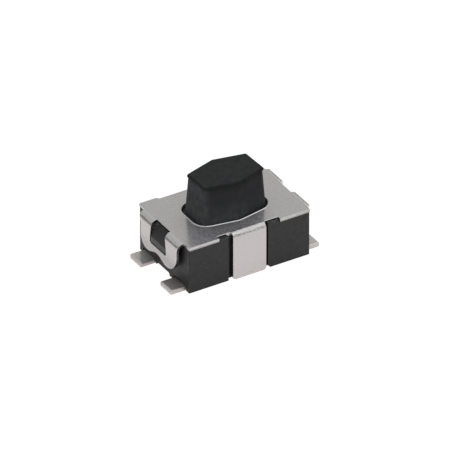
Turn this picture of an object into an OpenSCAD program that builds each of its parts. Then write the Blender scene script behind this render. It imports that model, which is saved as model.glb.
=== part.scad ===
// Microminiature tactile push button switch for surface mounting, 4.2 mm long over its cover.
// Origin: centre of the switch on the board. +X runs along the long side, +Y to the back, +Z up.
// The ground tab is on the front face, and the switch stands on its solder terminals at z = 0.

/* [Base] */
// Length of the moulded base between its end faces
base_l = 3.8; // [3.6:0.02:4.4]
// Width of the moulded base between its long faces
base_w = 2.6; // [2.5:0.01:3.2]
// Height of the top of the base above the board
base_top = 1.38; // [1.34:0.02:2]
// Gap between the underside of the base and the board
base_standoff = 0.01; // [0.01:0.01:0.05]
// Radius of the upright corners of the base
base_corner_r = 0.02; // [0.02:0.01:0.15]
// Height of the floor of the dome well above the board
floor_z = 0.36; // [0.34:0.01:0.42]
// Height of the raised underside between the two terminals of an end
end_arch_z = 0.09; // [0.05:0.01:0.12]
// Reach of that raised stretch to the front
end_arch_front = 0.25; // [0.1:0.01:0.4]
// Reach of that raised stretch to the back
end_arch_back = 0.43; // [0.1:0.01:0.44]
// How far the raised stretch runs in from the end face
end_arch_depth = 0.34; // [0.1:0.02:0.4]
// Radius of the corners of the raised stretch
end_arch_r = 0.05; // [0.02:0.01:0.08]
// Gap round a terminal where it leaves the end face
terminal_relief = 0.03; // [0.01:0.01:0.04]
// Depth of that gap
terminal_relief_d = 0.06; // [0.02:0.01:0.1]
// Diameter of the holes left by the pins that held the strips in the mould
pin_hole_d = 0.3; // [0.2:0.05:0.4]
// Distance of the pin holes from the middle of the base
pin_hole_x = 0.9; // [0.6:0.05:1.1]

/* [Cover] */
// Thickness of the stainless sheet
sheet_t = 0.1; // [0.08:0.01:0.12]
// Overhang of the cover past the long faces of the base
side_lip = 0.025; // [0.01:0.005:0.05]
// Overhang of the cover past the end faces of the base
end_lip = 0.005; // [0.005:0.005:0.03]
// Radius of the corners of the top plate
ear_r = 0.02; // [0.02:0.01:0.1]
// Depth of the step along the back edge
back_step_d = 0.075; // [0.04:0.005:0.1]
// Length of the step along the back edge
back_step_l = 2.6; // [2:0.1:3]
// Length of the slope at each end of the step
back_step_slope = 0.08; // [0.02:0.02:0.2]
// Height of the bead raised round the button opening
bead_h = 0.016; // [0.01:0.002:0.03]
// Width of that bead
bead_w = 0.05; // [0.04:0.005:0.07]

/* [End loops] */
// Inside radius of the bend of an end loop
loop_bend_r = 0.095; // [0.08:0.005:0.14]
// Width of a loop at its legs
loop_w = 1.86; // [1.7:0.02:2]
// Width of a loop where it leaves the top plate
loop_root_w = 2.04; // [2:0.02:2.2]
// Height over which a loop narrows from its root to its legs
loop_neck_h = 0.35; // [0.2:0.05:0.4]
// Height of the loop's two feet above the board
foot_z = 0.46; // [0.35:0.005:0.5]
// Radius of the outer corner of the front foot
foot_front_r = 0.52; // [0.2:0.02:0.56]
// Radius of the outer corner of the back foot
foot_back_r = 0.36; // [0.2:0.02:0.5]
// Rise of the loop's lower edge between its feet
foot_arch_rise = 0.14; // [0.05:0.005:0.18]
// Height of the window's sill above the board
sill_z = 0.775; // [0.74:0.005:0.82]
// Width of the window at the top plate
window_top_w = 0.7; // [0.5:0.01:0.8]
// Width of the window at its sill
window_sill_w = 0.88; // [0.8:0.01:1]
// How far the window sits towards the back of its loop
window_shift = 0.03; // [0:0.01:0.06]
// Radius of the lower corners of the window
window_corner_r = 0.09; // [0.05:0.01:0.12]

/* [Ground tab] */
// Width of the ground tab on the front face
tab_w = 1.05; // [0.8:0.01:1.2]
// Inside radius of the tab's bend
tab_bend_r = 0.05; // [0.02:0.005:0.06]
// Radius of the tab's lower corners
tab_corner_r = 0.1; // [0.03:0.01:0.15]
// Length of the relief notch on each side of the tab
notch_l = 0.43; // [0.2:0.01:0.5]
// Depth of the relief notches
notch_d = 0.13; // [0.08:0.01:0.16]
// How far the base rises inside the notches
notch_rise = 0.07; // [0.02:0.01:0.09]
// Gap between that rise and the edges of the notches
notch_gap = 0.02; // [0.01:0.005:0.03]
// Gap between the tab's left edge and the slot in the base
tab_left_gap = 0.125; // [0.03:0.005:0.15]
// Gap between the tab's right edge and the slot
tab_right_gap = 0.06; // [0.03:0.005:0.15]
// Gap behind the tab
tab_back_gap = 0.04; // [0.035:0.005:0.06]
// Chamfer on the slot's lower right corner
slot_chamfer = 0.08; // [0.03:0.01:0.12]

/* [Latch lugs] */
// How far a lug stands out from the end face
lug_out = 0.18; // [0.15:0.01:0.2]
// Height of the lug's upright face
lug_face_h = 0.19; // [0.1:0.01:0.25]
// Gap between the lug and the window round it
lug_gap = 0.01; // [0.01:0.005:0.04]
// How far the lug rises past the top of the base
lug_rise = 0.05; // [0.02:0.01:0.07]
// Thickness of the lug at its top
lug_top_t = 0.03; // [0.02:0.01:0.05]

/* [Button] */
// Length of the button's top
button_l = 1.94; // [1.7:0.02:2]
// Width of the button's top across its middle
button_w = 1.37; // [1.3:0.01:1.45]
// Width of the button's top at its ends
button_end_w = 0.88; // [0.7:0.02:0.96]
// Height of the button's top above the board
button_top = 2.62; // [2.2:0.02:3]
// Draft of the button's sides, in degrees
button_draft = 3.5; // [1:0.5:4]
// Radius round the button's top
button_edge_r = 0.06; // [0.02:0.005:0.06]
// Height of the rim below the button's top
button_rim_h = 0.09; // [0.08:0.01:0.12]
// How far the rim stands out from the sides below it
button_rim_lip = 0.01; // [0.008:0.002:0.02]
// Radius of the rim's upright edges
button_rim_r = 0.07; // [0.07:0.01:0.12]
// Radius of the upright edges below the rim
button_side_r = 0.17; // [0.12:0.01:0.3]
// How far the button sits turned in its opening, in degrees
button_turn = 2.5; // [0:0.5:3]
// How far the button sits towards the right end of its opening
button_shift = 0.02; // [0:0.005:0.03]
// Gap between the button and the opening at the two ends
opening_gap_end = 0.11; // [0.1:0.005:0.16]
// Gap between the button and the opening at the middle of the long sides
opening_gap_middle = 0.04; // [0.035:0.005:0.06]
// Gap between the button and the opening beside the corners
opening_gap_corner = 0.08; // [0.075:0.005:0.1]
// Radius of the corners of the opening
opening_corner_r = 0.4; // [0.2:0.02:0.42]
// Thickness of the flange that holds the button under the cover
flange_t = 0.24; // [0.16:0.02:0.26]
// How far the flange reaches past the edge of the opening
flange_lip = 0.13; // [0.08:0.01:0.14]
// Running gap round the flange in the base
flange_gap = 0.07; // [0.06:0.01:0.08]
// Gap between the flange and the cover at rest
flange_top_gap = 0.01; // [0.01:0.005:0.02]
// Radius of the nub that presses the dome
nub_r = 0.28; // [0.2:0.02:0.34]
// Gap between the nub and the dome at rest
nub_gap = 0.01; // [0.005:0.005:0.02]

/* [Snap dome] */
// Diameter of the dome
dome_d = 1.86; // [1.7:0.02:1.9]
// Height of the dome's outside above its rim
dome_h = 0.24; // [0.2:0.01:0.26]
// Thickness of the dome
dome_t = 0.05; // [0.04:0.005:0.06]
// Gap between the dome's rim and the wall of its well
dome_gap = 0.04; // [0.02:0.01:0.05]

/* [Contacts] */
// Thickness of the contact strips
contact_t = 0.13; // [0.1:0.01:0.15]
// Length over the tips of the terminals
terminal_span = 4.7; // [4.6:0.05:5.4]
// Width of a terminal
terminal_w = 0.59; // [0.5:0.01:0.62]
// Distance of a terminal's outer edge from the long face of the base beside it
terminal_inset = 0.21; // [0.2:0.005:0.23]
// Height of the buried stretch of a strip above the board
rail_z = 0.17; // [0.16:0.01:0.18]
// Length over which a strip steps up inside an end wall
joggle_l = 0.22; // [0.16:0.02:0.26]
// Depth of the flat terminal root inside the end wall
root_l = 0.12; // [0.08:0.02:0.16]
// Height of the contact lands above the floor of the well
land_h = 0.02; // [0.01:0.005:0.03]
// Radius of the centre contact land
centre_land_r = 0.26; // [0.2:0.02:0.3]
// Width of the neck that carries the centre land
neck_w = 0.3; // [0.2:0.02:0.4]
// Width of the two arms that carry the dome's rim
arm_w = 0.26; // [0.2:0.02:0.3]
// Length of the rim land on each arm
rim_land_l = 0.44; // [0.3:0.02:0.48]

/* [Hidden] */
$fn = 64;

// Sides of a quarter of a drawn round, and how far a cutter runs past what it cuts
arc_steps = 8;
blend_steps = 16;
past = 0.5;

// Levels, from the board up
cover_top = base_top + sheet_t;
rim_z = floor_z + land_h;
dome_top = rim_z + dome_h;
nub_z = dome_top + nub_gap;
flange_top = base_top - flange_top_gap;
flange_z = flange_top - flange_t;
travel = dome_h - dome_t + nub_gap;
cavity_z = flange_z - travel - flange_gap;

// Plan of the cover and its bends
plate_l = base_l + 2 * end_lip;
plate_w = base_w + 2 * side_lip;
leg_x = plate_l / 2 + loop_bend_r;
loop_bend_z = base_top - loop_bend_r;
tab_in_y = plate_w / 2 - sheet_t;
tab_bend_y = tab_in_y - tab_bend_r;
tab_bend_z = base_top - tab_bend_r;
slot_left = -tab_w / 2 - tab_left_gap;
slot_right = tab_w / 2 + tab_right_gap;
notched_l = tab_w + 2 * notch_l;
notch_y = plate_w / 2 - notch_d;
slot_back_y = tab_in_y - tab_back_gap;

// Plan of the opening: a hexagon round the button where it passes through the cover
button_spread = tan(button_draft) * (button_top - cover_top) - button_rim_lip;
opening_l = button_l + 2 * (button_spread + opening_gap_end);
opening_w = button_w + 2 * (button_spread + opening_gap_middle);
opening_end_w = button_end_w + 2 * (button_spread + opening_gap_corner);

// Ends of the contact strips and the middle of the arms that meet the dome's rim
terminal_y = base_w / 2 - terminal_inset - terminal_w / 2;
root_x = base_l / 2 - root_l;
rail_x = root_x - joggle_l;
arm_x = dome_d / 2 - dome_t - arm_w / 2;

// Hexagon of length l, w wide across its middle and end_w wide across its ends
function hexagon(l, w, end_w) =
    [[l, -end_w] / 2, [l, end_w] / 2, [0, w] / 2, [-l, end_w] / 2, [-l, -end_w] / 2, [0, -w] / 2];

opening_outline = hexagon(opening_l, opening_w, opening_end_w);

function rectangle(l, w) = [[l / 2, -w / 2], [l / 2, w / 2], [-l / 2, w / 2], [-l / 2, -w / 2]];

// Outward unit normal of the edge from a to b on an outline that runs anticlockwise
function edge_normal(a, b) = [b.y - a.y, a.x - b.x] / norm(b - a);

// Outline with its corners rounded to radius r, then grown by g with the same corner centres
function rounded(outline, r, g = 0) =
    let (n = len(outline))
    [for (i = [0 : n - 1])
        let (
            before = edge_normal(outline[(i + n - 1) % n], outline[i]),
            after = edge_normal(outline[i], outline[(i + 1) % n]),
            centre = outline[i] - r * (before + after) / (1 + before * after),
            start = atan2(before.y, before.x),
            turn = atan2(before.x * after.y - before.y * after.x, before * after)
        )
        for (k = [0 : arc_steps])
            let (a = start + turn * k / arc_steps)
            centre + (r + g) * [cos(a), sin(a)]
    ];

function mirrored(half) = concat(half, [for (i = [len(half) - 1 : -1 : 0]) [-half[i].x, half[i].y]]);

// Smooth step from 0 to 1 as t goes from 0 to 1, level at both ends
function ease(t) = (1 - cos(180 * t)) / 2;

// Outline of an end loop seen along X: two feet with the arch between them, legs and neck
function loop_outline() =
    let (
        half_w = loop_w / 2,
        front_y = foot_front_r - half_w,
        back_y = half_w - foot_back_r,
        quarter = [for (k = [0 : blend_steps]) 90 * k / blend_steps],
        arch = [for (k = [1 : blend_steps - 1])
            let (t = k / blend_steps)
            [front_y + (back_y - front_y) * t, foot_z + foot_arch_rise * ease(2 * t)]],
        back_foot = [for (a = quarter)
            [back_y + foot_back_r * sin(a), foot_z + foot_back_r * (1 - cos(a))]],
        front_foot = [for (a = quarter)
            [front_y - foot_front_r * cos(a), foot_z + foot_front_r * (1 - sin(a))]],
        neck = [for (k = [0 : blend_steps])
            let (t = k / blend_steps)
            [half_w + (loop_root_w - loop_w) / 2 * ease(t), cover_top - loop_neck_h * (1 - t)]]
    )
    concat(arch, back_foot, mirrored(neck), front_foot);

// Outline of the window seen along X, pulled in by gap for the lug that fills it
function window_outline(gap = 0) =
    let (
        narrowing = (window_sill_w - window_top_w) / 2 / (cover_top - sill_z),
        top_y = window_top_w / 2 - narrowing * past,
        top_z = cover_top + past,
        sill_y = window_sill_w / 2,
        sides = [[sill_y, sill_z], [top_y, top_z], [-top_y, top_z], [-sill_y, sill_z]]
    )
    [for (p = rounded(sides, window_corner_r, -gap)) [p.x + window_shift, p.y]];

// Solid through a stack of outlines of equal length, each at its own height
module loft(outlines, heights) {
    n = len(outlines[0]);
    last = len(outlines) - 1;
    polyhedron(
        points = [for (i = [0 : last]) for (p = outlines[i]) [p.x, p.y, heights[i]]],
        faces = concat(
            [[for (j = [0 : n - 1]) j]],
            [for (i = [0 : last - 1]) for (j = [0 : n - 1])
                let (k = (j + 1) % n)
                [i * n + j, (i + 1) * n + j, (i + 1) * n + k, i * n + k]],
            [[for (j = [n - 1 : -1 : 0]) last * n + j]]
        )
    );
}

// Extrudes what is drawn as Y and Z along X, from x = 0
module along_x(l) {
    rotate([90, 0, 90]) linear_extrude(l) children();
}

// Extrudes what is drawn as X and Z along Y, from y = 0
module along_y(l) {
    translate([0, l, 0]) rotate([90, 0, 0]) linear_extrude(l) children();
}

// Quarter of a ring about the origin, in the quadrant of +X and +Y
module quarter_ring(inner_r) {
    intersection() {
        difference() {
            circle(inner_r + sheet_t);
            circle(inner_r);
        }
        square(inner_r + sheet_t);
    }
}

module on_both_ends() {
    children();
    mirror([1, 0, 0]) children();
}

// Strip that runs through the base at height rail_z and steps down to a terminal at each end
module contact_rail() {
    tip = terminal_span / 2;
    upper = [[tip, contact_t], [root_x, contact_t], [rail_x, rail_z + contact_t]];
    lower = [[-rail_x, rail_z], [-root_x, 0], [-tip, 0]];
    translate([0, -terminal_w / 2, 0]) along_y(terminal_w)
        polygon(concat(
            upper, [for (i = [2 : -1 : 0]) [-upper[i].x, upper[i].y]],
            [for (i = [2 : -1 : 0]) lower[i]], [for (i = [0 : 2]) [-lower[i].x, lower[i].y]]
        ));
}

module front_contact() {
    rail_edge = terminal_y - terminal_w / 2;
    color("#b9b2aa") {
        translate([0, -terminal_y, 0]) contact_rail();
        translate([-neck_w / 2, -rail_edge, rail_z]) cube([neck_w, rail_edge, contact_t]);
        translate([0, 0, rail_z]) cylinder(r = centre_land_r, h = rim_z - rail_z);
    }
}

module back_contact() {
    rail_edge = terminal_y - terminal_w / 2;
    arm_l = rail_edge + rim_land_l / 2;
    color("#b9b2aa") {
        translate([0, terminal_y, 0]) contact_rail();
        on_both_ends() translate([arm_x, 0, 0]) {
            translate([-arm_w / 2, rail_edge - arm_l, rail_z]) cube([arm_w, arm_l, contact_t]);
            translate([-arm_w / 2, -rim_land_l / 2, rail_z]) cube([arm_w, rim_land_l, rim_z - rail_z]);
        }
    }
}

module snap_dome() {
    rim_r = dome_d / 2;
    ball_r = (rim_r * rim_r + dome_h * dome_h) / (2 * dome_h);
    color("#c9c6bd")
        translate([0, 0, rim_z])
            rotate_extrude()
                intersection() {
                    translate([0, dome_h - ball_r])
                        difference() {
                            circle(ball_r, $fn = 256);
                            circle(ball_r - dome_t, $fn = 256);
                        }
                    square([rim_r, dome_h + dome_t]);
                }
}

// Lug that the window of an end loop snaps over, at the +X end
module latch_lug() {
    root = base_l / 2 - past / 5;
    face = base_l / 2 + lug_out;
    foot = sill_z + lug_gap;
    inner = plate_l / 2 + lug_gap;
    intersection() {
        translate([root, 0, 0]) along_x(face - root) polygon(window_outline(lug_gap));
        translate([0, -loop_w / 2, 0]) along_y(loop_w)
            polygon([
                [root, foot], [face - lug_gap, foot], [face, foot + lug_gap], [face, foot + lug_face_h],
                [inner + lug_top_t, base_top + lug_rise], [inner, base_top + lug_rise],
                [inner, base_top - lug_gap], [root, base_top - lug_gap]
            ]);
    }
}

module flange_space(gap, from_z, to_z) {
    translate([0, 0, from_z])
        linear_extrude(to_z - from_z)
            polygon(rounded(opening_outline, opening_corner_r, flange_lip + gap));
}

// The base between the ends of the two notches, from its front face to the back of the notches
module notch_rises() {
    l = notched_l - 2 * notch_gap;
    translate([-l / 2, -base_w / 2, base_top - past / 5])
        cube([l, base_w / 2 - notch_y - notch_gap, past / 5 + notch_rise]);
}

// What the base leaves open at its +X end: the raised stretch and the gaps round the terminals
module end_cuts() {
    arch_y = (end_arch_back - end_arch_front) / 2;
    arch = rectangle(end_arch_front + end_arch_back, 2 * end_arch_z);
    relief_w = terminal_w + 2 * terminal_relief;
    translate([base_l / 2 - end_arch_depth, arch_y, 0])
        along_x(end_arch_depth + past) polygon(rounded(arch, end_arch_r));
    for (y = [-terminal_y, terminal_y])
        translate([base_l / 2 - terminal_relief_d, y - relief_w / 2, 0])
            cube([terminal_relief_d + past, relief_w, contact_t + terminal_relief]);
}

module base_housing() {
    color("#2f3032")
        difference() {
            union() {
                translate([0, 0, base_standoff])
                    linear_extrude(base_top - base_standoff)
                        polygon(rounded(rectangle(base_l, base_w), base_corner_r));
                on_both_ends() latch_lug();
                notch_rises();
            }
            // Room for the button's flange over its travel, and the well of the dome
            flange_space(flange_gap, cavity_z, base_top + past);
            translate([0, 0, floor_z]) cylinder(d = dome_d + 2 * dome_gap, h = base_top);
            // Slot for the ground tab, with one lower corner cut back
            translate([0, -base_w / 2 - past, 0]) along_y(past + base_w / 2 - slot_back_y)
                polygon([
                    [slot_left, 0], [slot_left, base_top + past], [slot_right, base_top + past],
                    [slot_right, base_standoff + slot_chamfer], [slot_right + slot_chamfer, base_standoff],
                    [slot_right + slot_chamfer, 0]
                ]);
            on_both_ends() end_cuts();
            // Holes in the underside, up to the buried strips
            for (x = [-pin_hole_x, pin_hole_x])
                for (y = [-terminal_y, terminal_y])
                    translate([x, y, 0]) cylinder(d = pin_hole_d, h = rail_z);
            front_contact();
            back_contact();
        }
}

module button() {
    outline = hexagon(button_l, button_w, button_end_w);
    root_z = flange_top - flange_t / 2;
    ledge_z = button_top - button_rim_h;
    edge = [for (k = [0 : arc_steps]) 90 * k / arc_steps];
    // Height, growth past the button's top outline and corner radius of each ring, from below
    rings = concat(
        [for (z = [root_z, ledge_z - button_rim_lip])
            [z, tan(button_draft) * (button_top - z) - button_rim_lip, button_side_r]],
        [[ledge_z, tan(button_draft) * button_rim_h, button_rim_r]],
        [for (a = edge)
            let (g = button_edge_r * (cos(a) - 1))
            [button_top - button_edge_r * (1 - sin(a)), g, button_rim_r + g]]
    );
    color("#2b2c2f") translate([button_shift, 0, 0]) rotate([0, 0, button_turn]) {
        loft(
            [for (ring = rings) rounded(outline, ring[2] - ring[1], ring[1])],
            [for (ring = rings) ring[0]]
        );
        flange_space(0, flange_z, flange_top);
        translate([0, 0, nub_z]) cylinder(r = nub_r, h = flange_z - nub_z + flange_t / 2);
    }
}

// One loop of the cover, at the +X end
module end_loop() {
    reach = loop_root_w / 2 + past;
    intersection() {
        union() {
            translate([leg_x, -reach, 0]) cube([sheet_t, 2 * reach, loop_bend_z]);
            translate([plate_l / 2, -reach, loop_bend_z]) along_y(2 * reach) quarter_ring(loop_bend_r);
        }
        along_x(leg_x + past)
            difference() {
                polygon(loop_outline());
                polygon(window_outline());
            }
    }
}

// Tab that bends down over the front face and ends level with the terminals
module ground_tab() {
    translate([-tab_w / 2, -tab_bend_y, tab_bend_z])
        along_x(tab_w) mirror([1, 0]) quarter_ring(tab_bend_r);
    corner = [for (k = [0 : arc_steps])
        let (a = 90 * k / arc_steps)
        [tab_w / 2 - tab_corner_r * (1 - sin(a)), tab_corner_r * (1 - cos(a))]];
    translate([0, -plate_w / 2, 0]) along_y(sheet_t)
        polygon(mirrored(concat(corner, [[tab_w / 2, tab_bend_z]])));
}

module top_plate() {
    step = back_step_l / 2;
    crest = bead_w / 5;
    slope = (bead_w - crest) / 2;
    difference() {
        union() {
            translate([0, 0, base_top]) linear_extrude(sheet_t)
                difference() {
                    polygon(rounded(rectangle(plate_l, plate_w), ear_r));
                    translate([0, plate_w / 2])
                        polygon(mirrored([[step, -back_step_d], [step + back_step_slope, 0], [step, past]]));
                    translate([-notched_l / 2, -notch_y - past]) square([notched_l, past]);
                    translate([-tab_w / 2, -tab_bend_y - past]) square([tab_w, past]);
                }
            // Bead round the opening
            loft(
                [for (g = [bead_w, bead_w, bead_w - slope]) rounded(opening_outline, opening_corner_r, g)],
                [base_top + sheet_t / 2, cover_top, cover_top + bead_h]
            );
        }
        loft(
            [for (g = [0, 0, 2 * slope]) rounded(opening_outline, opening_corner_r, g)],
            [base_top - past, cover_top, cover_top + 2 * bead_h]
        );
    }
}

module cover() {
    color("#a9a8a2") {
        top_plate();
        on_both_ends() end_loop();
        ground_tab();
    }
}

base_housing();
front_contact();
back_contact();
snap_dome();
button();
cover();
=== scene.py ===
import math

import bmesh
import bpy
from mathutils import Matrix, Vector
from mathutils.bvhtree import BVHTree


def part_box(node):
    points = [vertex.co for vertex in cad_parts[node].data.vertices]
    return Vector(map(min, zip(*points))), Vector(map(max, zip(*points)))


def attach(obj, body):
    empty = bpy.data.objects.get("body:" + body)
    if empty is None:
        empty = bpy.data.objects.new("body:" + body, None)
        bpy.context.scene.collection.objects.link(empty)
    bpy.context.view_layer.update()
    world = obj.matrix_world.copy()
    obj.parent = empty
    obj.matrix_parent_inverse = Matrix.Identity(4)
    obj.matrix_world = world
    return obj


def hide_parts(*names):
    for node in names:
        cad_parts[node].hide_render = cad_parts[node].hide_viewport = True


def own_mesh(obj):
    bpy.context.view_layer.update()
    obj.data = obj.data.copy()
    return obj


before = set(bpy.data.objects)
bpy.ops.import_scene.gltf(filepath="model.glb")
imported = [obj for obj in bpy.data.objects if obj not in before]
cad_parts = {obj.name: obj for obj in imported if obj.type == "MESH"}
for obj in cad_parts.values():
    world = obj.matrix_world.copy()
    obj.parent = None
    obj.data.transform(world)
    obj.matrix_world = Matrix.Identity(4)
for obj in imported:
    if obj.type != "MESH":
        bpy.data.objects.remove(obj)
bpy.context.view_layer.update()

MM = 0.001


# Places and sizes on the switch, in millimetres, most of them from the frame

def corners_of(node):
    """Lowest and highest corner of a CAD node."""
    low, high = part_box(node)
    return low / MM, high / MM


# Thickness of the cover's sheet, height of the bead round its opening, half the width of its front tab
SHEET = 0.1
BEAD = 0.016
TAB_HALF = 0.525
plate_top = corners_of("cover")[1].z - BEAD
base_top = plate_top - SHEET
loop_face = corners_of("cover")[1].x
tab_face = corners_of("cover")[0].y
lug_face = corners_of("base_housing")[1].x
button_top = corners_of("button")[1].z
terminal_tip = corners_of("front_contact")[1].x


# Colours and nodes

def linear(code):
    """An sRGB colour such as #a0b1c2 as the linear colour that Blender works in."""
    parts = [int(code[i:i + 2], 16) / 255 for i in (1, 3, 5)]
    return (*[p / 12.92 if p <= 0.04045 else ((p + 0.055) / 1.055) ** 2.4 for p in parts], 1.0)


def add(tree, kind, inputs=(), **settings):
    """Adds a shader node with its settings. Its inputs come by name in a dict, or in the order of its
    sockets in use. Each is a plain value, an sRGB colour, a socket, or a node for its first output in use."""
    node = tree.nodes.new("ShaderNode" + kind)
    for name, value in settings.items():
        setattr(node, name, value)
    if isinstance(inputs, dict):
        sockets = [node.inputs[name] for name in inputs]
        inputs = inputs.values()
    else:
        sockets = [socket for socket in node.inputs if socket.enabled]
    for socket, value in zip(sockets, inputs):
        if isinstance(value, bpy.types.Node):
            value = next(output for output in value.outputs if output.enabled)
        if isinstance(value, bpy.types.NodeSocket):
            tree.links.new(value, socket)
        else:
            socket.default_value = linear(value) if isinstance(value, str) else value
    return node


def new_material(name):
    """An empty material, its tree, and the place of a point on the piece in millimetres."""
    material = bpy.data.materials.new(name)
    material.use_nodes = True
    tree = material.node_tree
    tree.nodes.clear()
    place = add(tree, "TexCoord").outputs["Object"]
    return material, tree, add(tree, "VectorMath", (place, 1 / MM), operation="SCALE")


# Materials. A MapRange is given as what it reads, a start and an end, and its values there

def hazy_metal(tree, colour, roughness, veil_colour, haze, normal):
    """A metal's mirror of the given roughness under a wide haze that takes the share haze of its light."""
    mirror = add(tree, "BsdfPrincipled", {
        "Base Color": colour, "Metallic": 1.0, "Roughness": roughness, "Normal": normal})
    veil = add(tree, "BsdfPrincipled", {
        "Base Color": veil_colour, "Metallic": 1.0, "Roughness": 0.6, "Normal": normal})
    add(tree, "OutputMaterial", [add(tree, "MixShader", (haze, mirror, veil))])


def satin_stainless():
    """Stainless strip with a satin rolled skin: a clear mirror under a haze, faintly streaked along X."""
    cloud_size, bloom_size, streak_width, skin_depth = 0.8, 0.05, 0.06, 0.0002
    # The pits of the rolled skin are about 5 microns; they are drawn 25 microns wide to show
    pit_size = 0.025
    # Where the strip is bent, its skin is stretched into an orange peel that sparkles. Its grains are real
    # in size and drawn deeper than they are, to show
    peel_size, peel_depth = 0.035, 0.015

    material, tree, place = new_material("satin_stainless")
    along_x = add(tree, "Mapping", {"Vector": place, "Scale": (0.2, 1, 1)})
    streaks = add(tree, "TexNoise", {"Vector": along_x, "Scale": 1 / streak_width, "Detail": 3})
    pits = add(tree, "TexNoise", {"Vector": place, "Scale": 1 / pit_size, "Detail": 2})
    clouds = add(tree, "TexNoise", {"Vector": place, "Scale": 1 / cloud_size, "Detail": 2})
    bloom = add(tree, "TexNoise", {"Vector": place, "Scale": 1 / bloom_size, "Detail": 2})
    peel = add(tree, "TexNoise", {"Vector": place, "Scale": 1 / peel_size, "Detail": 1})

    across, ahead, height = add(tree, "SeparateXYZ", [place]).outputs
    off_centre = add(tree, "Math", [across], operation="ABSOLUTE")
    in_tab = add(tree, "MapRange", (off_centre, TAB_HALF - 0.005, TAB_HALF + 0.035, 1, 0))
    at_front = add(tree, "MapRange", (ahead, tab_face + 0.125, tab_face + 0.165, 1, 0))
    tab_bend = add(tree, "Math", (at_front, in_tab), operation="MULTIPLY")
    loop_bend = add(tree, "MapRange", (off_centre, loop_face - 0.17, loop_face - 0.12, 0, 0.3))
    bend = add(tree, "Math", (tab_bend, loop_bend), operation="MAXIMUM")
    high = add(tree, "MapRange", (height, base_top - 0.05, base_top, 0, 1))
    bent = add(tree, "Math", (high, bend), operation="MULTIPLY")
    bent_peel = add(tree, "Math", (bent, peel), operation="MULTIPLY")

    bumps = add(tree, "Bump", {"Height": bent_peel, "Distance": peel_depth * MM})
    bumps = add(tree, "Bump", {"Height": pits, "Distance": skin_depth * MM, "Normal": bumps})
    bumps = add(tree, "Bump", {"Height": streaks, "Distance": skin_depth * MM, "Normal": bumps})
    rolled = add(tree, "Mix", (clouds, "#c5bfbb", "#beb8b4"), data_type="RGBA")
    # Painted glints: the peel's crests are painted bright, over a warmer tone of the bend
    painted_glint = add(tree, "MapRange", (bent_peel, 0.38, 0.62, 0, 1))
    stretched = add(tree, "Mix", (painted_glint, "#b6b2ab", "#e3ded4"), data_type="RGBA")
    # The haze blooms on the plate, in small patches, and is nearly even on the legs and the tab
    thin_haze = add(tree, "MapRange", (height, base_top - 0.08, base_top + 0.07, 0.46, 0.34))
    thick_haze = add(tree, "MapRange", (height, base_top - 0.08, base_top + 0.07, 0.5, 0.62))
    hazy_metal(tree, colour=add(tree, "Mix", (bent, rolled, stretched), data_type="RGBA"),
               roughness=add(tree, "MapRange", (pits, 0.35, 0.7, 0.1, 0.24)), veil_colour="#bfbdbe",
               haze=add(tree, "MapRange", (bloom, 0.35, 0.65, thin_haze, thick_haze)), normal=bumps)
    return material


def sheared_stainless():
    """Cut edge of the strip: burnished bright by the die, with a duller torn band low on the plate's edge."""
    tear_size, tear_depth = 0.05, 0.001
    material, tree, place = new_material("sheared_stainless")
    tears = add(tree, "TexNoise", {"Vector": place, "Scale": 1 / tear_size, "Detail": 3})
    height = add(tree, "SeparateXYZ", [place]).outputs["Z"]
    above = add(tree, "MapRange", (height, base_top - 0.005, base_top + 0.005, 0, 1))
    below = add(tree, "MapRange", (height, base_top + 0.035, base_top + 0.055, 1, 0))
    torn = add(tree, "Math", (above, below), operation="MULTIPLY")
    burnished = add(tree, "Mix", (tears, "#c6c4c3", "#afacab"), data_type="RGBA")
    shader = add(tree, "BsdfPrincipled", {
        "Base Color": add(tree, "Mix", (torn, burnished, "#93908d"), data_type="RGBA"),
        "Metallic": 1.0, "Roughness": add(tree, "MapRange", (tears, 0.35, 0.7, 0.12, 0.3)),
        "Normal": add(tree, "Bump", {"Height": tears, "Distance": tear_depth * MM})})
    add(tree, "OutputMaterial", [shader])
    return material


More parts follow.
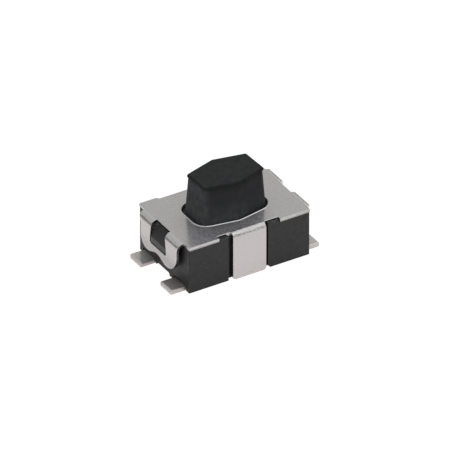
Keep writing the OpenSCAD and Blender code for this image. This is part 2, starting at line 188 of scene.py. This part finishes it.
def moulded_glass_filled_nylon():
    """Black base plastic: matte, a little mottled, with pale specks of glass, and painted shade that blackens
    it towards its foot and on its lugs.
    """
    mottle_size, speck_size, skin_depth = 0.12, 0.04, 0.0012
    # The mould's spark-eroded skin is about 10 microns; it is drawn 30 microns wide to show
    skin_size = 0.03
    # Heights between which painted shade turns the base from its blackest, at the foot, to its full colour
    darkest_shade_height, shade_free_height = 0.1, 1.2

    material, tree, place = new_material("moulded_glass_filled_nylon")
    mottle = add(tree, "TexNoise", {"Vector": place, "Scale": 1 / mottle_size, "Detail": 3})
    skin = add(tree, "TexNoise", {"Vector": place, "Scale": 1 / skin_size, "Detail": 2})
    filler = add(tree, "TexNoise", {"Vector": place, "Scale": 1 / speck_size, "Detail": 1})
    across, _, height = add(tree, "SeparateXYZ", [place]).outputs
    off_centre = add(tree, "Math", [across], operation="ABSOLUTE")

    # Flash left by the mould lies along the upper edge, as more and paler specks
    flash = add(tree, "MapRange", (height, base_top - 0.1, base_top - 0.02, 0, 0.09))
    with_flash = add(tree, "Math", (filler, flash), operation="ADD")
    specks = add(tree, "MapRange", (with_flash, 0.75, 0.82, 0, 1))
    # The cover's loops snap over the lugs on the ends and rub them smooth. The lugs, in the shade of the
    # loops, are also painted blacker: painted shade
    painted_shading_mask = add(tree, "MapRange", (off_centre, lug_face - 0.16, lug_face - 0.12, 0, 1))
    moulded = add(tree, "Mix", (mottle, "#181919", "#1d1e1e"), data_type="RGBA")
    # Painted shade: the base darkens towards its foot
    out_of_foot_shade = add(tree, "MapRange", (height, darkest_shade_height, shade_free_height, 0, 1))
    body = add(tree, "Mix", (out_of_foot_shade, "#060606", moulded), data_type="RGBA")
    # Painted shade: the lugs are painted near black
    lug_painted_shade = add(tree, "Mix", (painted_shading_mask, body, "#090909"), data_type="RGBA")
    matte = add(tree, "MapRange", (mottle, 0.3, 0.7, 0.42, 0.58))
    shader = add(tree, "BsdfPrincipled", {
        "Base Color": add(tree, "Mix", (specks, lug_painted_shade, "#6e6e6a"), data_type="RGBA"),
        "Roughness": add(tree, "MapRange", (painted_shading_mask, 0, 1, matte, 0.34)), "IOR": 1.44,
        "Normal": add(tree, "Bump", {"Height": skin, "Distance": skin_depth * MM})})
    add(tree, "OutputMaterial", [shader])
    return material


def moulded_silicone_rubber():
    """Black button rubber: dull, with painted shade that darkens its top, and painted light in pale
    scuff-like patches low on its sides and at its left end.
    """
    mottle_size, patch_size, skin_depth = 0.2, 0.12, 0.0015
    # The mould's skin is about 10 microns; it is drawn 35 microns wide to show
    skin_size = 0.035
    # Left tip of the button's top
    left_tip = -0.95

    material, tree, place = new_material("moulded_silicone_rubber")
    mottle = add(tree, "TexNoise", {"Vector": place, "Scale": 1 / mottle_size, "Detail": 3})
    skin = add(tree, "TexNoise", {"Vector": place, "Scale": 1 / skin_size, "Detail": 2})
    upright = add(tree, "Mapping", {"Vector": place, "Scale": (1, 1, 0.6)})
    patch_noise = add(tree, "TexNoise", {"Vector": upright, "Scale": 1 / patch_size, "Detail": 3})

    across, _, height = add(tree, "SeparateXYZ", [place]).outputs
    # Painted light: pale patches low on the sides, where light bounces up from the plate, stronger on the
    # left, and at the left end just under the rim, where the left face catches the light. Noise breaks it
    # into scuff-like patches
    near_plate = add(tree, "MapRange", (height, plate_top + 0.02, plate_top + 0.62, 1, 0))
    on_left = add(tree, "MapRange", (across, -0.2, 0.5, 1, 0.4))
    low_bounce_light = add(tree, "Math", (near_plate, on_left), operation="MULTIPLY")
    left_end = add(tree, "MapRange", (across, left_tip, left_tip + 0.2, 0.9, 0))
    under_rim = add(tree, "MapRange", (height, button_top - 0.17, button_top - 0.02, 1, 0))
    left_end_light = add(tree, "Math", (left_end, under_rim), operation="MULTIPLY")
    painted_light_share = add(tree, "Math", (low_bounce_light, left_end_light), operation="ADD", use_clamp=True)
    light_patches = add(tree, "MapRange", (patch_noise, 0.4, 0.65, 0.6, 1.2))
    painted_shading_mask = add(tree, "Math", (painted_light_share, light_patches), operation="MULTIPLY")

    sides = add(tree, "Mix", (mottle, "#232325", "#272729"), data_type="RGBA")
    # Painted shade: the top is painted darker than the sides
    painted_top_shade = add(tree, "MapRange", (height, button_top - 0.32, button_top - 0.02, 0, 1))
    body = add(tree, "Mix", (painted_top_shade, sides, "#0f0f0f"), data_type="RGBA")
    # The pale colour here is painted light, laid over the mottle and the painted shade of the top
    shader = add(tree, "BsdfPrincipled", {
        "Base Color": add(tree, "Mix", (painted_shading_mask, body, "#464647"), data_type="RGBA"),
        "Roughness": add(tree, "MapRange", (mottle, 0.3, 0.7, 0.55, 0.7)), "IOR": 1.35,
        "Normal": add(tree, "Bump", {"Height": skin, "Distance": skin_depth * MM})})
    add(tree, "OutputMaterial", [shader])
    return material


def silver_plating():
    """Silver-plated copper alloy strip: a soft mirror, with drawing marks along the terminals."""
    # The marks are about 10 microns wide; they are drawn 40 microns wide to show
    mark_width, mark_depth = 0.04, 0.0002
    material, tree, place = new_material("silver_plating")
    along_x = add(tree, "Mapping", {"Vector": place, "Scale": (0.3, 1, 1)})
    marks = add(tree, "TexNoise", {"Vector": along_x, "Scale": 1 / mark_width, "Detail": 3})
    hazy_metal(tree, colour=add(tree, "Mix", (marks, "#c6c0bb", "#bbb5b0"), data_type="RGBA"),
               roughness=add(tree, "MapRange", (marks, 0.3, 0.7, 0.06, 0.14)), veil_colour="#cdc7c3",
               haze=add(tree, "MapRange", (marks, 0.3, 0.7, 0.56, 0.7)),
               normal=add(tree, "Bump", {"Height": marks, "Distance": mark_depth * MM}))
    return material


def sheared_plated_copper():
    """Cut edge of the contact strip, where the copper alloy warms the thin plating."""
    tear_size, tear_depth = 0.04, 0.003
    material, tree, place = new_material("sheared_plated_copper")
    tears = add(tree, "TexNoise", {"Vector": place, "Scale": 1 / tear_size, "Detail": 3})
    shader = add(tree, "BsdfPrincipled", {
        "Base Color": add(tree, "Mix", (tears, "#c9c3bf", "#b6afaa"), data_type="RGBA"),
        "Metallic": 1.0, "Roughness": add(tree, "MapRange", (tears, 0.35, 0.65, 0.32, 0.55)),
        "Normal": add(tree, "Bump", {"Height": tears, "Distance": tear_depth * MM})})
    add(tree, "OutputMaterial", [shader])
    return material


def bright_rolled_spring_steel():
    """Bright rolled steel of the snap dome: a mirror with faint rolling streaks along X."""
    streak_width, streak_depth = 0.05, 0.0005
    material, tree, place = new_material("bright_rolled_spring_steel")
    along_x = add(tree, "Mapping", {"Vector": place, "Scale": (0.2, 1, 1)})
    streaks = add(tree, "TexNoise", {"Vector": along_x, "Scale": 1 / streak_width, "Detail": 2})
    shader = add(tree, "BsdfPrincipled", {
        "Base Color": add(tree, "Mix", (streaks, "#d2d0ca", "#c6c3bc"), data_type="RGBA"),
        "Metallic": 1.0, "Roughness": add(tree, "MapRange", (streaks, 0.3, 0.7, 0.12, 0.24)),
        "Normal": add(tree, "Bump", {"Height": streaks, "Distance": streak_depth * MM})})
    add(tree, "OutputMaterial", [shader])
    return material


# Pieces. Their rounding is in millimetres

SHARP = math.radians(35)
CREASE = math.radians(33)
FLAT = math.radians(1)
WELD = 0.0004
WIDEST_ROUNDING = 0.06


def solid_of(node):
    """The node's own mesh, welded, for a new piece to be made from."""
    form = bmesh.new()
    form.from_mesh(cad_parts[node].data)
    bmesh.ops.remove_doubles(form, verts=form.verts, dist=WELD * MM)
    bmesh.ops.recalc_face_normals(form, faces=form.faces)
    return form


def keep_flats_flat(mesh):
    """Each corner's normal is the mean, by area, of the faces round it less than a crease from its own."""
    least = math.cos(CREASE)
    round_corner = [[] for _ in mesh.vertices]
    for face in mesh.polygons:
        for corner in face.vertices:
            round_corner[corner].append(face)
    normals = []
    for face in mesh.polygons:
        for corner in face.vertices:
            soft = [near.normal * near.area for near in round_corner[corner]
                    if near.normal.dot(face.normal) > least]
            normals.append(sum(soft, Vector()).normalized())
    mesh.normals_split_custom_set(normals)


def finished(form, node, name, materials, kind_of_face, rounding, sharp=SHARP):
    """Makes the piece that stands for a node: faces by kind, flats made whole, corners rounded."""
    form.normal_update()
    for face in form.faces:
        face.material_index = kind_of_face(face)
        face.smooth = True
    bmesh.ops.dissolve_limit(form, angle_limit=FLAT, verts=form.verts, edges=form.edges,
                             delimit={"MATERIAL"})
    form.normal_update()
    weights = form.edges.layers.float.new("bevel_weight_edge")
    for edge in form.edges:
        if len(edge.link_faces) == 2 and edge.calc_face_angle(0) > sharp:
            width = rounding(edge) if edge.is_convex else 0
            edge[weights] = width / WIDEST_ROUNDING
            edge.smooth = width > 0
    mesh = bpy.data.meshes.new(name)
    form.to_mesh(mesh)
    form.free()
    for material in materials:
        mesh.materials.append(material)
    piece = bpy.data.objects.new(name, mesh)
    bpy.context.scene.collection.objects.link(piece)
    corners = piece.modifiers.new("rounded_corners", "BEVEL")
    corners.limit_method = "WEIGHT"
    corners.width = WIDEST_ROUNDING * MM
    corners.segments = 3
    corners.use_clamp_overlap = False
    corners.loop_slide = False
    rounded = bpy.data.meshes.new_from_object(piece.evaluated_get(bpy.context.evaluated_depsgraph_get()))
    piece.modifiers.clear()
    piece.data = rounded
    keep_flats_flat(rounded)
    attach(piece, "button" if node == "button" else "housing")
    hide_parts(node)
    return piece


def middle_of(edge):
    """Middle of an edge, in millimetres."""
    return (edge.verts[0].co + edge.verts[1].co) / 2 / MM


def stamped_cover():
    """The cover's sheet: rolled edges on the show side, thin burr side, cut faces in between."""
    form = solid_of("cover")
    both_sides = BVHTree.FromBMesh(form)
    skin, cut = 0, 1
    under_skin = 0.001 * MM
    # The show side of every wall faces away from this point inside the cover
    heart = Vector((0, 0, 0.9))
    bead_roll, fold_roll, shown_roll, burr_roll = 0.004, 0.015, 0.018, 0.008

    def kind(face):
        inside = face.calc_center_median() - face.normal * under_skin
        far = both_sides.ray_cast(inside, -face.normal)[3]
        return skin if far is not None and far < 1.3 * SHEET * MM else cut

    def rounding(edge):
        middle = middle_of(edge)
        if middle.z > plate_top + 0.001:
            return bead_roll
        if {face.material_index for face in edge.link_faces} != {skin, cut}:
            return fold_roll
        face = next(side for side in edge.link_faces if side.material_index == skin)
        return shown_roll if (middle - heart).dot(face.normal) > 0 else burr_roll

    finished(form, "cover", "stamped_cover",
             [satin_stainless(), sheared_stainless()], kind, rounding)


def moulded_base():
    """The base, with the shallow creases of its lugs rounded too."""
    form = solid_of("base_housing")
    lug_crease = math.radians(16)
    finished(form, "base_housing", "moulded_base",
             [moulded_glass_filled_nylon()], lambda face: 0, lambda edge: 0.014, lug_crease)


def moulded_button():
    """The six-sided button with soft edges."""
    form = solid_of("button")
    finished(form, "button", "moulded_button",
             [moulded_silicone_rubber()], lambda face: 0, lambda edge: 0.03)


def contact_strip(node, name, materials):
    """A contact strip, plated on its flats and sheared on its edges, with well rolled terminals."""
    form = solid_of(node)
    outside_base = terminal_tip - 0.5
    off_board = 0.05
    terminal_roll, edge_roll = 0.045, 0.018

    def kind(face):
        return 0 if abs(face.normal.z) > 0.5 else 1

    def rounding(edge):
        middle = middle_of(edge)
        return terminal_roll if abs(middle.x) > outside_base and middle.z > off_board else edge_roll

    finished(form, node, name, materials, kind, rounding)


def snap_dome():
    """The dome, which stands on its rim lands under the button, with a mesh of its own."""
    form = solid_of("snap_dome")
    dome = finished(form, "snap_dome", "sprung_dome",
                    [bright_rolled_spring_steel()], lambda face: 0, lambda edge: 0.01)
    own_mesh(dome)


stamped_cover()
moulded_base()
moulded_button()
strip_finishes = [silver_plating(), sheared_plated_copper()]
contact_strip("front_contact", "front_contact_strip", strip_finishes)
contact_strip("back_contact", "back_contact_strip", strip_finishes)
snap_dome()


# Floor, light and camera

def light_table():
    """White table: pure white to the eye, brightest round the switch, with a faint shadow under it."""
    radius, below_feet = 300, 0.002
    near, far = 4.2, 7.5
    shadow_left, shadow_right, shadow_front = -2.8, -2.48, -1.45
    material, tree, place = new_material("white_table")
    away = add(tree, "VectorMath", [place], operation="LENGTH")
    dimming = add(tree, "MapRange", (away, near, far, 0, 1))
    matt = add(tree, "BsdfDiffuse", [add(tree, "Mix", (dimming, "#fcf9f8", "#5c5b5b"), data_type="RGBA")])

    # The loop on the left stands in its own soft shadow, which its feet and sill mirror
    across, ahead, _ = add(tree, "SeparateXYZ", [place]).outputs
    past_left = add(tree, "MapRange", (across, shadow_left, shadow_left + 0.14, 1, 0))
    past_right = add(tree, "MapRange", (across, shadow_right - 0.06, shadow_right, 0, 1))
    in_front = add(tree, "MapRange", (ahead, shadow_front, shadow_front + 0.2, 1, 0))
    beside = add(tree, "Math", (past_left, past_right), operation="MAXIMUM")
    lit_part = add(tree, "Math", (beside, in_front), operation="MAXIMUM")
    glow = add(tree, "MapRange", (away, near, far, 0.41, 0))
    lit_glow = add(tree, "Math", (lit_part, glow), operation="MULTIPLY")

    path = add(tree, "LightPath").outputs
    strength = add(tree, "Math", (path["Is Glossy Ray"], lit_glow), operation="MULTIPLY")
    mirrored = add(tree, "Emission", ("#fff6f4", strength))
    lit = add(tree, "AddShader", (matt, mirrored))
    # The eye sees a tenth of the matt table, with the switch's shadow, and a white that makes up the rest
    white = add(tree, "Emission", ("#ffffff", add(tree, "MapRange", (away, 3.5, 6, 1.06, 1.17))))
    seen = add(tree, "Math", (path["Is Camera Ray"], 0.9), operation="MULTIPLY")
    add(tree, "OutputMaterial", [add(tree, "MixShader", (seen, lit, white))])

    form = bmesh.new()
    bmesh.ops.create_circle(form, cap_ends=True, radius=radius * MM, segments=64)
    mesh = bpy.data.meshes.new("table")
    form.to_mesh(mesh)
    form.free()
    mesh.materials.append(material)
    table = bpy.data.objects.new("table", mesh)
    table.location.z = -below_feet * MM
    bpy.context.scene.collection.objects.link(table)


def soft_box(name, place, size, watts):
    """Square lamp of size mm, at a place in mm, that faces the switch."""
    lamp = bpy.data.lights.new(name, "AREA")
    lamp.size = size * MM
    lamp.energy = watts
    box = bpy.data.objects.new(name, lamp)
    box.location = Vector(place) * MM
    box.rotation_euler = (-box.location).to_track_quat("-Z", "Y").to_euler()
    box.visible_camera = False
    bpy.context.scene.collection.objects.link(box)


def white_tent():
    """Light tent round the table: white to the camera, a grey gradient from the table up to the switch."""
    brightest = 1.03
    walls = ((0.0, "#676b67"), (0.12, "#b6b9b6"), (0.42, "#fcfff8"),
             (0.5, "#cdd0c9"), (0.56, "#c9ccc4"), (0.7, "#ecf1fc"))
    world = bpy.data.worlds.new("white_tent")
    bpy.context.scene.world = world
    world.use_nodes = True
    tree = world.node_tree
    tree.nodes.clear()
    way = add(tree, "TexCoord").outputs["Generated"]
    height = add(tree, "SeparateXYZ", [way]).outputs["Z"]
    gradient = add(tree, "ValToRGB", [height])
    stops = gradient.color_ramp.elements
    stops[0].position, stops[1].position = walls[0][0], walls[-1][0]
    for position, _ in walls[1:-1]:
        stops.new(position)
    for stop, (_, colour) in zip(stops, walls):
        stop.color = linear(colour)
    tent = add(tree, "Background", (gradient, brightest))
    backdrop = add(tree, "Background", ("#ffffff", 1.0))
    seen = add(tree, "LightPath").outputs["Is Camera Ray"]
    add(tree, "OutputWorld", [add(tree, "MixShader", (seen, tent, backdrop))])


def product_camera(azimuth, elevation, px_per_mm, target, away):
    """Long lens at the photograph's angle; the frame is 450 px wide, and lengths are in mm."""
    frame_px = 450
    turn, rise = math.radians(azimuth), math.radians(elevation)
    back = Vector((math.sin(turn) * math.cos(rise), -math.cos(turn) * math.cos(rise), math.sin(rise)))
    lens = bpy.data.cameras.new("product_camera")
    lens.sensor_width = 36
    lens.lens = px_per_mm * away * lens.sensor_width / frame_px
    lens.clip_start, lens.clip_end = 0.01, 2
    camera = bpy.data.objects.new("product_camera", lens)
    camera.location = (Vector(target) + back * away) * MM
    camera.rotation_euler = (-back).to_track_quat("-Z", "Y").to_euler()
    bpy.context.scene.collection.objects.link(camera)
    bpy.context.scene.camera = camera


light_table()
white_tent()
soft_box("overhead_box", place=(25, -18, 50), size=60, watts=0.0058)
product_camera(azimuth=-31.15, elevation=32.9, px_per_mm=36.94, target=(0.0015, -0.0168, 0.879), away=420)
bpy.context.scene.view_settings.view_transform = "Standard"
